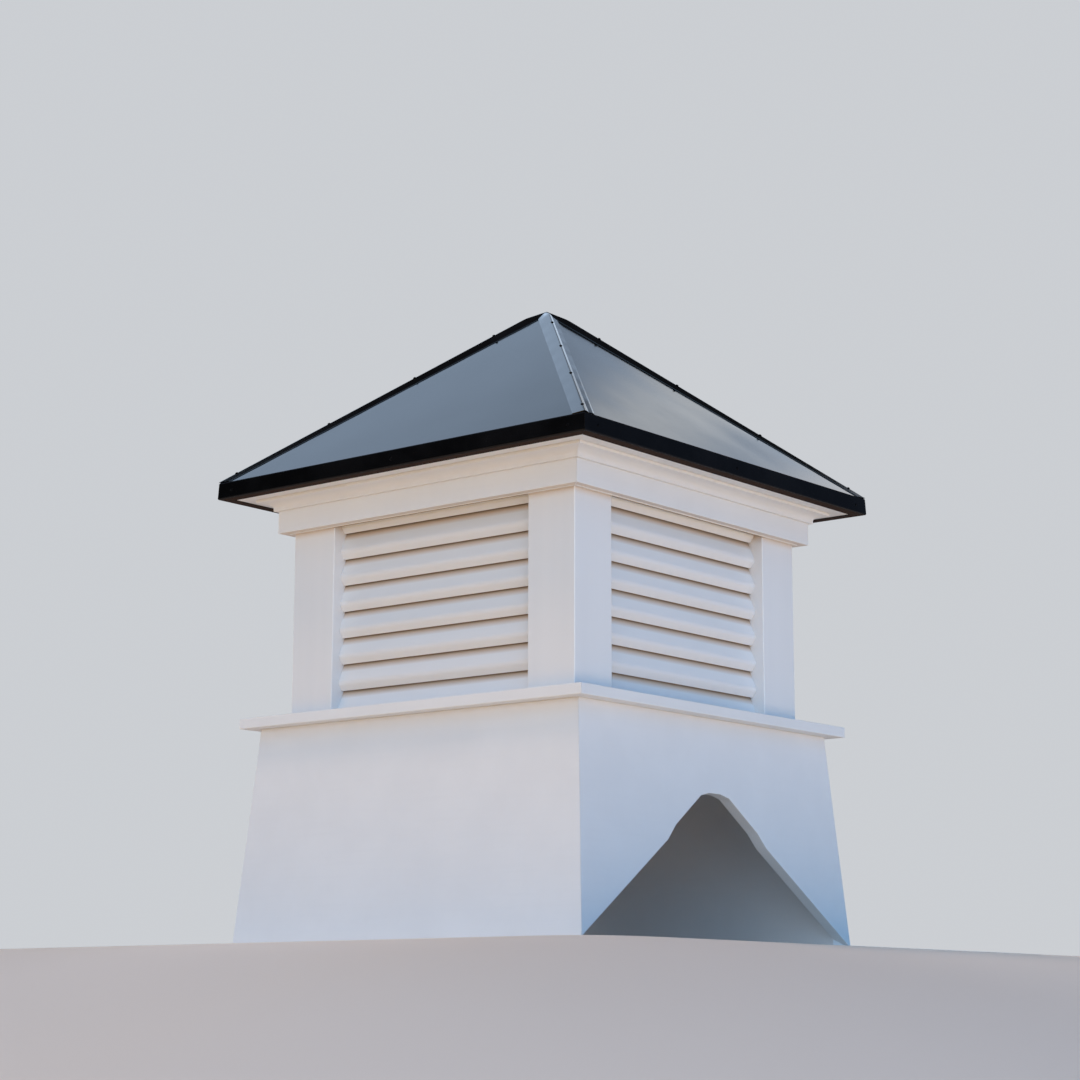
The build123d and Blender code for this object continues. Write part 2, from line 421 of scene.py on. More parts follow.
class NodeDesk:
    """One material's node tree and a short way to add to it."""

    def __init__(self, tree: bpy.types.NodeTree, material: Material | None = None) -> None:
        """Clears the tree and keeps it, with the material that it belongs to."""
        self.tree = tree
        self.material = material
        tree.nodes.clear()

    @classmethod
    def for_material(cls, name: str) -> "NodeDesk":
        """A desk on a new material of that name."""
        material = bpy.data.materials.new(name)
        material.use_nodes = True
        return cls(material.node_tree, material)

    def add(self, kind: str, inputs: dict[str | int, Any] | None = None, **settings: Any) -> bpy.types.Node:
        """Adds a node.

        Args:
            kind: the node's type, without the leading "ShaderNode".
            inputs: a value or another node's output for each named or numbered input.
            settings: the node's own properties.

        Returns:
            The node.
        """
        node = self.tree.nodes.new("ShaderNode" + kind)
        for key, value in settings.items():
            setattr(node, key, value)
        for key, value in (inputs or {}).items():
            if isinstance(value, Socket):
                self.tree.links.new(value, node.inputs[key])
            else:
                node.inputs[key].default_value = value
        return node

    def place(self, stretch: tuple[float, float, float] = (1.0, 1.0, 1.0)) -> Socket:
        """The object's own coordinates, scaled by stretch along each axis."""
        coordinates = self.add("TexCoord")
        mapping = self.add("Mapping", {"Vector": coordinates.outputs["Object"], "Scale": stretch})
        return mapping.outputs["Vector"]

    def noise(self, place: Socket, scale: float, detail: float = 3.0,
              roughness: float = 0.55) -> Socket:
        """A smooth noise of about 0 to 1, with scale patches to the metre."""
        return self.add("TexNoise", {"Vector": place, "Scale": scale, "Detail": detail,
                                     "Roughness": roughness}).outputs["Fac"]

    def between(self, value: Socket, source: tuple[float, float],
                target: tuple[float, float]) -> Socket:
        """Maps a value's range from source to target, clamped."""
        return self.add("MapRange", {"Value": value, "From Min": source[0], "From Max": source[1],
                                     "To Min": target[0], "To Max": target[1]}).outputs["Result"]

    def pattern(self, place: Socket, pattern: "Pattern") -> Socket:
        """A noise at its place, with its shown range mapped to what it becomes."""
        return self.between(self.noise(place, pattern.scale, pattern.detail), pattern.shown, pattern.becomes)

    def math(self, operation: str, first: Any, second: Any) -> Socket:
        """One arithmetic step on two values."""
        return self.add("Math", {0: first, 1: second}, operation=operation).outputs[0]

    def fade(self, value: Socket, start: float, end: float) -> Socket:
        """A smooth step from 0 at start to 1 at end."""
        return self.add("MapRange", {"Value": value, "From Min": start, "From Max": end},
                        interpolation_type="SMOOTHSTEP").outputs["Result"]

    def blend(self, share: Any, first: Any, second: Any, how: str = "MIX") -> Socket:
        """A mix of two colours, from the first at share 0 to the second at 1, or with ADD their sum."""
        mix = self.add("Mix", data_type="RGBA", blend_type=how)
        sockets = {"Factor": share, "A": first, "B": second}
        wanted = {"Factor": mix.inputs[0], "A": mix.inputs[6], "B": mix.inputs[7]}
        for name, value in sockets.items():
            if isinstance(value, Socket):
                self.tree.links.new(value, wanted[name])
            else:
                wanted[name].default_value = value
        return mix.outputs[2]

    def edged(self, colour: Socket, arris_highlight: "Colour", shade: "Colour",
              joint: "Colour") -> Socket:
        """Paints a highlight and shade into a colour by the edge mark.

        Args:
            colour: the colour of the plain surface.
            arris_highlight: the colour of the painted highlight on a rounded edge.
            shade: the colour of the painted warm half-shade under a projection.
            joint: the colour of painted deep shade in a gap or hollow.

        Returns:
            The tinted colour.
        """
        mark = self.add("Attribute", attribute_name="edge").outputs["Fac"]
        tinted = self.blend(self.between(mark, (PLAIN, PAINTED_HIGHLIGHT), (0.0, 1.0)), colour, arris_highlight)
        tinted = self.blend(self.between(mark, (PLAIN, HALF_SHADE), (0.0, 1.0)), tinted, shade)
        return self.blend(self.between(mark, (HALF_SHADE, PAINTED_DEEP_SHADE), (0.0, 1.0)), tinted, joint)

    def upward(self, steep: float = 0.3, level: float = 0.95) -> Socket:
        """How far a face looks up: 0 where its normal's Z is steep or less, 1 where it is level or more."""
        normal = self.add("NewGeometry").outputs["Normal"]
        return self.between(self.add("SeparateXYZ", {0: normal}).outputs["Z"], (steep, level), (0.0, 1.0))

    def finish(self, colour: Any, roughness: Any, bump: Socket, depth: float,
               ior: float) -> Material:
        """Joins colour, roughness and bump into the surface shader.

        Args:
            colour: colour value or output.
            roughness: roughness value or output.
            bump: height of the surface texture.
            depth: height of the texture in metres at bump 1.
            ior: index of refraction of the surface.

        Returns:
            The finished material.
        """
        relief = self.add("Bump", {"Strength": 1.0, "Distance": depth, "Height": bump})
        surface = self.add("BsdfPrincipled", {"Base Color": colour, "Roughness": roughness, "IOR": ior,
                                              "Normal": relief.outputs["Normal"]})
        output = self.add("OutputMaterial")
        self.tree.links.new(surface.outputs["BSDF"], output.inputs["Surface"])
        return self.material


Colour = tuple[float, float, float, float]
Noise = tuple[float, float]


@dataclass(frozen=True)
class Pattern:
    """A noise pattern: patches to the metre, octaves, the range of it that shows and what that becomes."""

    scale: float
    detail: float
    shown: tuple[float, float]
    becomes: tuple[float, float]


@dataclass(frozen=True)
class TrimBoard:
    """Satin white trim board: faint clouds and streaks along it, a fine sanded grain and settled dust."""

    run: Run
    colour: Colour = (0.80, 0.80, 0.80, 1.0)
    cloud: Colour = (0.765, 0.766, 0.768, 1.0)
    # Painted light and shade, by the edge mark: a paler highlight on rounded edges, a warm half-shade under
    # projections and deep shade in gaps and hollows
    arris_highlight: Colour = (0.82, 0.82, 0.815, 1.0)
    shade: Colour = (0.62, 0.42, 0.24, 1.0)
    joint: Colour = (0.03, 0.02, 0.015, 1.0)
    dust: Colour = (0.60, 0.575, 0.54, 1.0)
    clouds: Pattern = Pattern(11.0, 4.0, (0.38, 0.68), (0.0, 0.75))
    streaks: Pattern = Pattern(150.0, 3.0, (0.5, 0.75), (0.0, 0.35))
    specks: Pattern = Pattern(240.0, 2.0, (0.3, 0.7), (0.15, 0.65))
    roughness: Pattern = Pattern(24.0, 3.0, (0.2, 0.8), (0.42, 0.52))
    grain: Noise = (700.0, 2.0)
    hollows: Noise = (60.0, 2.0)
    depth: float = 0.035 * MM
    ior: float = 1.45

    def material(self) -> Material:
        """Builds the finish."""
        desk = NodeDesk.for_material("trim board " + self.run.name.lower())
        plain, drawn = desk.place(), desk.place(self.run.value)
        colour = desk.blend(desk.pattern(plain, self.clouds), self.colour, self.cloud)
        colour = desk.blend(desk.pattern(drawn, self.streaks), colour, self.cloud)
        # Paints the edge highlight and the shade by the edge mark.
        colour = desk.edged(colour, self.arris_highlight, self.shade, self.joint)
        settled = desk.math("MULTIPLY", desk.upward(), desk.pattern(plain, self.specks))
        colour = desk.blend(settled, colour, self.dust)
        relief = desk.math("ADD", desk.noise(drawn, *self.grain), desk.noise(plain, *self.hollows))
        return desk.finish(colour, desk.pattern(plain, self.roughness), relief, self.depth, self.ior)


@dataclass(frozen=True)
class Vinyl:
    """Smooth white vinyl: an even skin with a soft gloss, slight waves from its forming and painted edge
    highlights.
    """

    run: Run
    colour: Colour = (0.80, 0.80, 0.80, 1.0)
    cloud: Colour = (0.78, 0.781, 0.783, 1.0)
    # Painted light and shade, by the edge mark: a paler highlight on rounded edges, a warm half-shade under
    # the frieze and the slat lips, and deep shade in the gaps under the lips
    arris_highlight: Colour = (0.815, 0.813, 0.81, 1.0)
    shade: Colour = (0.60, 0.45, 0.33, 1.0)
    joint: Colour = (0.10, 0.085, 0.075, 1.0)
    clouds: Pattern = Pattern(28.0, 3.0, (0.3, 0.7), (0.0, 1.0))
    roughness: Pattern = Pattern(12.0, 2.0, (0.2, 0.8), (0.36, 0.42))
    waves: Noise = (90.0, 2.0)
    skin: Noise = (500.0, 1.0)
    depth: float = 0.02 * MM
    ior: float = 1.46

    def material(self) -> Material:
        """Builds the finish."""
        desk = NodeDesk.for_material("vinyl " + self.run.name.lower())
        plain, drawn = desk.place(), desk.place(self.run.value)
        colour = desk.blend(desk.pattern(drawn, self.clouds), self.colour, self.cloud)
        # Paints the edge highlight and the shade by the edge mark.
        colour = desk.edged(colour, self.arris_highlight, self.shade, self.joint)
        relief = desk.math("ADD", desk.noise(drawn, *self.waves), desk.noise(plain, *self.skin))
        return desk.finish(colour, desk.pattern(plain, self.roughness), relief, self.depth, self.ior)


@dataclass(frozen=True)
class CoatedSheet:
    """Black coated sheet metal: a thin glossy film with fine orange peel, faint dust and duller patches."""

    name: str = "coated sheet"
    colour: Colour = (0.0022, 0.0023, 0.0026, 1.0)
    dust: Colour = (0.035, 0.036, 0.04, 1.0)
    # Painted highlight: the colour of the marked folds and edges, paler than the sheet
    arris_highlight: Colour = (0.010, 0.009, 0.009, 1.0)
    patches: tuple[float, float, float] = (9.0, 5.0, 0.6)
    dust_shown: tuple[float, float] = (0.42, 0.72)
    dust_share: tuple[float, float] = (0.0, 0.12)
    dull_shown: tuple[float, float] = (0.35, 0.75)
    roughness: tuple[float, float] = (0.09, 0.13)
    peel: Noise = (420.0, 2.0)
    depth: float = 0.008 * MM
    ior: float = 1.25

    def material(self) -> Material:
        """Builds the finish."""
        desk = NodeDesk.for_material(self.name)
        plain = desk.place()
        patches = desk.noise(plain, *self.patches)
        colour = desk.blend(desk.between(patches, self.dust_shown, self.dust_share), self.colour, self.dust)
        # Paints the paler highlight on the marked folds and edges.
        colour = desk.blend(desk.add("Attribute", attribute_name="edge").outputs["Fac"], colour, self.arris_highlight)
        roughness = desk.between(patches, self.dull_shown, self.roughness)
        return desk.finish(colour, roughness, desk.noise(plain, *self.peel), self.depth, self.ior)


@dataclass(frozen=True)
class FloorPaper:
    """Matt pale paper with faint clouds, a little darker than the rest, and a slight tooth."""

    colour: Colour = (0.82, 0.745, 0.66, 1.0)
    darker: float = 0.97
    clouds: Pattern = Pattern(1.5, 3.0, (0.3, 0.7), (0.0, 0.5))
    tooth: Noise = (300.0, 3.0)
    depth: float = 0.02 * MM
    roughness: float = 0.8
    ior: float = 1.3

    def material(self) -> Material:
        """Builds the finish."""
        desk = NodeDesk.for_material("floor paper")
        plain = desk.place()
        cloud = tuple(self.darker * part for part in self.colour[:3]) + (1.0,)
        colour = desk.blend(desk.pattern(plain, self.clouds), self.colour, cloud)
        return desk.finish(colour, self.roughness, desk.noise(plain, *self.tooth), self.depth, self.ior)


@dataclass
class Palette:
    """The finishes of the cupola, made once."""

    boards: dict[Run, Material]
    vinyl: dict[Run, Material]
    sheet: Material
    cap: Material
    lip: Material
    screw: Material

    @classmethod
    def mixed(cls) -> "Palette":
        """Makes every finish."""
        cap = CoatedSheet("cap sheet", roughness=(0.10, 0.13), ior=1.40)
        # The lip's underside: the black sheet painted warm brown to stand for warm light from below, with a
        # low IOR that keeps reflections off it.
        lip = CoatedSheet("lip underside painted warm", (0.042, 0.026, 0.020, 1.0), roughness=(0.5, 0.6), ior=1.04)
        screw = CoatedSheet("screw coating", (0.002, 0.002, 0.0022, 1.0), roughness=(0.28, 0.4), ior=1.12)
        return cls({run: TrimBoard(run).material() for run in (Run.ALONG_X, Run.ALONG_Y)},
                   {run: Vinyl(run).material() for run in Run}, CoatedSheet().material(), cap.material(),
                   lip.material(), screw.material())


# Sub-assemblies


@dataclass
class FlaredBase:
    """The four tapered boards under the sill; the right and left ones have a notch in their foot.

    The notch rises from both sides at an even pitch to a small step, and is rounded off to a short flat top.
    """

    flare: float = 25.5 * MM
    board: float = 19.0 * MM
    joint: float = 0.15 * MM
    eased_edge: float = 0.8 * MM
    notch_pitch: float = 8.0 / 12.0
    step_half_width: float = 104.0 * MM
    step_rise: float = 8.0 * MM
    step_run: float = 22.0 * MM
    round_half_width: float = 36.0 * MM
    round_drop: float = 17.0 * MM
    flat_half_width: float = 14.0 * MM
    flat_drop: float = 5.0 * MM
    rows: int = 9
    spread: int = 5

    def __post_init__(self) -> None:
        """Takes the footprint and the height from the frame."""
        low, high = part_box("base_panel_front")
        self.bottom_half = -low.y
        self.height = high.z

    def out(self, z: np.ndarray | float) -> np.ndarray | float:
        """Distance of the outer face from the middle at height z: it narrows evenly by the flare."""
        return self.bottom_half - self.flare * z / self.height

    def foot_line(self, behind: float, notched: bool) -> np.ndarray:
        """The lower edge of a face as rows of (distance across, height), from left to right.

        Args:
            behind: how far the face stands behind the outer face.
            notched: whether it follows the notch, or is level.

        Returns:
            Points on the line, with spread steps between neighbouring corners.
        """
        if not notched:
            corners = np.array([(-self.bottom_half + behind, 0.0), (self.bottom_half - behind, 0.0)])
        else:
            def slope_z(across: float) -> float:
                """Height of the notch's slope at a distance across."""
                return (self.bottom_half - across) * self.notch_pitch

            first_z = behind * self.notch_pitch / (1 - self.flare * self.notch_pitch / self.height)
            step_foot = self.step_half_width + self.step_run
            flat_z = slope_z(0) + self.step_rise - self.round_drop
            half = np.array([
                (self.out(first_z) - behind, first_z),
                (step_foot, slope_z(step_foot)),
                (self.step_half_width, slope_z(self.step_half_width) + self.step_rise),
                (self.round_half_width, flat_z - self.flat_drop),
                (self.flat_half_width, flat_z),
            ])
            corners = np.concatenate([half * (-1, 1), half[::-1]])
        knots = np.arange(len(corners))
        places = np.linspace(0, len(corners) - 1, (len(corners) - 1) * self.spread + 1)
        return np.column_stack([np.interp(places, knots, corners[:, axis]) for axis in (0, 1)])

    def face(self, behind: float, notched: bool) -> np.ndarray:
        """One face of a panel as a grid of two parameters.

        A column starts at (across, foot height) on the foot line and keeps its share c of the face's half
        width, across / (out - behind). At v from 0 to 1 its height is foot + v (height - foot), and its place
        across is c times the half width there, less the joint.

        Args:
            behind: how far the face stands behind the outer face.
            notched: whether the foot follows the notch.

        Returns:
            Points as (rows, columns, 3), for the front side.
        """
        foot = self.foot_line(behind, notched)
        share = foot[:, 0] / (self.out(foot[:, 1]) - behind)
        rise = np.linspace(0, 1, self.rows)[:, None]
        z = foot[:, 1] + rise * (self.height - foot[:, 1])
        out = self.out(z) - behind
        return np.stack([share * (out - self.joint), -out, z], axis=-1)

    def build(self, palette: Palette) -> None:
        """Builds the four panels."""
        for side in Side:
            face, back = (self.face(behind, side.notched) for behind in (0.0, self.board))
            raise_piece("flared_panel", side, Surface.slab(face, back), palette.boards[Run.of(side)],
                        "base_panel", self.eased_edge)


@dataclass
class SillShelf:
    """The flat shelf between the base and the posts, in four mitred boards."""

    nose_radius: float = 1.2 * MM

    def build(self, palette: Palette) -> None:
        """Builds the four boards."""
        board = mitred_run(board_section("sill_board", self.nose_radius))
        for side in Side:
            raise_piece("shelf", side, board, palette.boards[Run.of(side)], "sill_board")


@dataclass
class CornerPosts:
    """The four hollow square posts."""

    wall: float = 5.0 * MM
    edge_radius: float = 1.4 * MM
    bore_radius: float = 0.6 * MM
    eased_end: float = 0.4 * MM
    shade_reach: float = 12.0 * MM
    shade_steps: int = 6
    painted_shade_depth: float = 0.6
    shade_power: float = 1.5

    def post(self) -> Surface:
        """The front right post: the outer square ring rises, turns in and comes down as the ring of the bore.

        Under the frieze it is painted with warm shade: its mark falls by the painted shade's depth times the
        share of the reach, to the shade's power.
        """
        low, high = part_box("corner_post_front_right")
        half = (high.x - low.x) / 2
        centre = ((low.x + high.x) / 2, (low.y + high.y) / 2)
        square = [(1, -1), (1, 1), (-1, 1), (-1, -1)]
        outer = rounded_outline([(half * a, half * b) for a, b in square], [self.edge_radius] * 4)
        bore = half - self.wall
        inner = rounded_outline([(bore * a, bore * b) for a, b in square], [self.bore_radius] * 4)
        ease = self.eased_end
        frieze_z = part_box("frieze_board_front")[0].z
        shaded = frieze_z - self.shade_reach * np.linspace(1, 0, self.shade_steps + 1)
        full_rings = [low.z + ease, low.z + 2 * ease, *shaded, high.z - 2 * ease, high.z - ease]
        heights = np.array([low.z, *full_rings, high.z, high.z, low.z])
        eased = drawn_in(outer, ease)
        stack = np.stack([eased, *[outer] * len(full_rings), eased, inner, inner])
        # Painted warm shade under the frieze.
        into_shade = np.clip((heights - shaded[0]) / self.shade_reach, 0, 1)
        stack[..., 2] -= self.painted_shade_depth * into_shade[:, None] ** self.shade_power
        z = np.broadcast_to(heights[:, None], stack.shape[:2])
        grid = np.stack([stack[..., 0] + centre[0], stack[..., 1] + centre[1], z], axis=-1)
        return Surface.ring_grid(grid, stack[..., 2], closed_rows=True)

    def build(self, palette: Palette) -> None:
        """Builds the four posts."""
        post = self.post()
        for corner in Corner:
            raise_piece("post", corner, post, palette.vinyl[Run.UPRIGHT], "corner_post")


@dataclass
class LouvreBays:
    """Eight fixed slats in each bay: a steep blade over a soft nose, and a lip that returns under it."""

    count: int = 8
    pitch: float = 41.5 * MM
    thickness: float = 2.5 * MM
    edge_recess: float = 22.5 * MM
    nose_recess: float = 13.5 * MM
    nose_rise: float = 11.5 * MM
    blade_gap: float = 1.0 * MM
    top_overlap: float = 3.0 * MM
    nose_radius: float = 10.0 * MM
    nose_inner_radius: float = 7.0 * MM
    lip_radius: float = 0.9 * MM
    arc_steps: int = 9
    end_ease: float = 0.05 * MM
    lower: float = 1.9 * MM
    shade_reach: float = 12.0 * MM
    shade_rows: tuple[float, ...] = (1.0, 0.9, 0.0)
    painted_shade_depth: float = 1.55

    def __post_init__(self) -> None:
        """Takes the bay's length, the lowest slat and the posts' outer face from the frame."""
        low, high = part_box("louvre_slats_front")
        self.half_length = high.x
        self.foot_z = low.z
        self.post_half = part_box("corner_post_front_right")[1].x

    def outline(self) -> np.ndarray:
        """The slat's section over its own lower edge: the outer line edge, nose, top, and that line set in.

        The inner line's corner at the nose lies thickness / cos(half the bend) along the bisector of the two
        normals, and its ends lie thickness square to the ends of the outer line, the lower one cut level. The
        blade is painted with shadow where it nears the lip above: its mark falls by the painted shade's depth
        times the share of the reach that is passed. The lip's lower edge gets a painted highlight and the
        inner corner of its foot painted deep shade.
        """
        edge = np.array([self.post_half - self.edge_recess, 0.0])
        nose = np.array([self.post_half - self.nose_recess, self.nose_rise])
        lip = (nose - edge) / np.linalg.norm(nose - edge)
        pass_out = edge[0] - self.thickness / lip[1] - self.blade_gap
        share = (self.pitch + self.top_overlap - nose[1]) / (self.pitch - nose[1])
        top = nose + np.array([(pass_out - nose[0]) * share, self.pitch + self.top_overlap - nose[1]])
        blade = (top - nose) / np.linalg.norm(top - nose)
        lip_in, blade_in = np.array([-lip[1], lip[0]]), np.array([-blade[1], blade[0]])
        inner_nose = nose + (lip_in + blade_in) * self.thickness / (1 + lip_in @ blade_in)
        inner_top = top + blade_in * self.thickness
        foot = inner_nose - lip * inner_nose[1] / lip[1]
        shaded_z = self.pitch - self.shade_reach * np.array(self.shade_rows)
        shaded = nose + (top - nose) * ((shaded_z - nose[1]) / (top[1] - nose[1]))[:, None]
        corners = [tuple(point) for point in (edge, nose, *shaded, top, inner_top, inner_nose, foot)]
        small = self.lip_radius
        flat = [0.0] * len(shaded)
        radii = [small, self.nose_radius, *flat, small, small, self.nose_inner_radius, small]
        # Painted highlight on the lip's lower edge, painted deep shade in the inner corner of its foot.
        marks = [PAINTED_HIGHLIGHT, PLAIN, *flat, PLAIN, PLAIN, PLAIN, PAINTED_DEEP_SHADE]
        outline = rounded_outline(corners, radii, self.arc_steps, marks=marks)
        # Painted shadow on the blade under the lip above.
        outline[:, 2] -= self.painted_shade_depth * np.clip((outline[:, 1] - shaded_z[0]) / self.shade_reach, 0, 1)
        return outline

    def build(self, palette: Palette) -> None:
        """Builds the four bays, each one piece; the lowest slat is cut level at its foot."""
        slat = straight_run(self.outline(), self.half_length, self.end_ease)
        lifts = self.foot_z - self.lower + self.pitch * np.arange(self.count)
        bay = Surface.joined([slat.moved(0, 0, lift) for lift in lifts])
        bay.points[:, 2] = np.maximum(bay.points[:, 2], self.foot_z)
        for side in Side:
            raise_piece("slats", side, bay, palette.vinyl[Run.of(side)], "louvre_slats")


@dataclass
class HeadAndCrown:
    """The frieze round the head of the posts, the filler board behind it and the cove moulding on it."""

    board_radius: float = 0.9 * MM
    shadow_fade: float = 0.5 * MM
    underside_shade: float = 0.4
    crown_foot_depth: float = 6.0 * MM
    crown_foot_height: float = 5.0 * MM
    crown_top_height: float = 4.5 * MM
    crown_radius: float = 0.8 * MM
    crown_guard: float = 0.2 * MM
    crown_arc_steps: int = 4
    cove_steps: int = 14

    def crown_outline(self) -> np.ndarray:
        """The crown's section: a foot fillet, a hollow quarter oval and a top fillet.

        With depth a and height b the cove's point at angle t is (top out - a cos t, foot top + b sin t).
        """
        low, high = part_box("crown_moulding_front")
        back, top_out = -high.y, -low.y
        foot_out = back + self.crown_foot_depth
        foot_top, cove_top = low.z + self.crown_foot_height, high.z - self.crown_top_height
        angle = np.linspace(0, math.pi / 2, self.cove_steps)[1:-1]
        cove = np.column_stack([top_out - (top_out - foot_out) * np.cos(angle),
                                foot_top + (cove_top - foot_top) * np.sin(angle)])
        corners = [(back, high.z), (back, low.z), (foot_out, low.z), (foot_out, foot_top)]
        corners += [tuple(point) for point in cove] + [(top_out, cove_top), (top_out, high.z)]
        radius = self.crown_radius
        radii = [radius] * 3 + [radius / 2] + [0.0] * len(cove) + [radius / 2, radius]
        return rounded_outline(corners, radii, self.crown_arc_steps, self.crown_guard)

    def board_outline(self, node: str) -> np.ndarray:
        """The section of a plain board on the front, with painted shade on its underside."""
        outline = board_section(node, self.board_radius)
        # Painted shade on the underside.
        outline[outline[:, 1] < outline[:, 1].min() + SAME_HEIGHT, 2] = -self.underside_shade
        return outline

    def header(self) -> Surface:
        """The head board, whose underside between the posts is painted with deep shade for the shadowed
        hollow.

        Rows stand at the posts' inner sides and just inside them, where the mark falls to the painted deep
        shade.
        """
        outline = self.board_outline("head_board")
        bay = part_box("louvre_slats_front")[1].x
        share = np.array([bay + 2 * self.shadow_fade, bay - self.shadow_fade]) / outline[:, 0].min()
        header = mitred_run(outline, between=np.concatenate([-share, share[::-1]]))
        x, z = header.points[:, 0], header.points[:, 2]
        # Painted deep shade on the underside between the posts.
        shaded = (np.abs(x) < bay) & (z < outline[:, 1].min() + self.board_radius)
        return replace(header, edge=np.where(shaded, PAINTED_DEEP_SHADE, header.edge))

    def build(self, palette: Palette) -> None:
        """Builds frieze, head board and crown on the four sides."""
        runs = {"crown": ("crown_moulding", mitred_run(self.crown_outline())),
                "frieze": ("frieze_board", mitred_run(self.board_outline("frieze_board"))),
                "header": ("head_board", self.header())}
        for side in Side:
            for name, (node, run) in runs.items():
                raise_piece(name, side, run, palette.boards[Run.of(side)], node)


@dataclass
class EaveBoards:
    """The flat boards whose underside is the soffit."""

    edge_radius: float = 0.9 * MM

    def build(self, palette: Palette) -> None:
        """Builds the four boards."""
        board = mitred_run(board_section("eave_board", self.edge_radius))
        for side in Side:
            raise_piece("soffit", side, board, palette.boards[Run.of(side)], "eave_board")


@dataclass
class HipRoof:
    """The four roof panels, each folded with its fascia and lip from one sheet that is slightly sprung."""

    sheet: float = 1.2 * MM
    fascia_height: float = 26.2 * MM
    fascia_lean: float = 1.2 * MM
    lip: float = 18.5 * MM
    fold_radius: float = 2.0 * MM
    fold_steps: int = 6
    hem_radius: float = 0.3 * MM
    spring: float = 0.12 * MM
    waves: tuple[tuple[float, float], ...] = ((19.0, 11.0), (-7.0, 24.0), (41.0, -16.0))
    wave_shift: float = 1.7
    eave_fade: float = 60.0 * MM
    hip_fade: float = 45.0 * MM
    point_half: float = 0.3 * MM
    row_step: float = 9.0 * MM
    columns: int = 61

    def __post_init__(self) -> None:
        """Takes the eave, the fascia and the apex from the frame."""
        low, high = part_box("roof_panel_front")
        self.foot_out = -low.y
        self.half = self.foot_out - self.fascia_lean
        self.fascia_bottom = low.z
        self.eave_z = low.z + self.fascia_height
        self.apex_z = high.z
        self.slope = (self.apex_z - self.eave_z) / self.half

    def outline(self) -> np.ndarray:
        """The folded sheet's section: from the apex over fold and fascia to the lip, and back inside."""
        pitch = math.atan(self.slope)
        bend_drop = self.sheet * math.tan(math.pi / 4 + pitch / 2) - self.sheet
        lip_in = self.half - self.lip
        soffit = self.fascia_bottom + self.sheet
        drop = self.sheet / math.cos(pitch)
        tip_z = self.apex_z - self.slope * self.point_half
        corners = [(self.point_half, tip_z), (self.half, self.eave_z), (self.foot_out, self.fascia_bottom),
                   (lip_in, self.fascia_bottom), (lip_in, soffit), (self.foot_out - self.sheet, soffit),
                   (self.half - self.sheet, self.eave_z - bend_drop - self.sheet),
                   (self.point_half, tip_z - drop)]
        fold, inside, hem = self.fold_radius, self.fold_radius - self.sheet, self.hem_radius
        radii = [0.0, fold, fold, hem, hem, inside, inside, 0.0]
        return finer(rounded_outline(corners, radii, self.fold_steps), self.row_step)

    def sprung(self, panel: Surface, side: Side) -> Surface:
        """Lifts and lowers the panel a little, as thin sheet does between its folds.

        With three slow waves sin(a x + b out + k shift), k from 1 to 3 and the shift different for each side,
        the height changes by spring times (first times second plus half the third), times a weight that fades
        to 0 toward the eave fold and the hips.

        Args:
            panel: the front panel.
            side: the side that it is for.

        Returns:
            The sprung panel.
        """
        x, out = panel.points[:, 0], -panel.points[:, 1]
        from_eave = np.clip((self.half - out) / self.eave_fade, 0, 1)
        from_hips = np.clip((out - np.abs(x)) / self.hip_fade, 0, 1)
        shift = self.wave_shift * side.value
        first, second, third = (np.sin(a * x + b * out + k * shift) for k, (a, b) in enumerate(self.waves, 1))
        points = panel.points.copy()
        points[:, 2] += self.spring * (from_eave * from_hips) ** 2 * (first * second + 0.5 * third)
        return replace(panel, points=points)

    def build(self, palette: Palette) -> None:
        """Builds the four panels."""
        panel = mitred_run(self.outline(), between=np.linspace(-1, 1, self.columns)[1:-1])
        for side in Side:
            # The lip's underside, looking straight down, takes the finish with painted warm light.
            raise_piece("roof_sheet", side, self.sprung(panel, side), palette.sheet, "roof_panel",
                        underside=palette.lip)


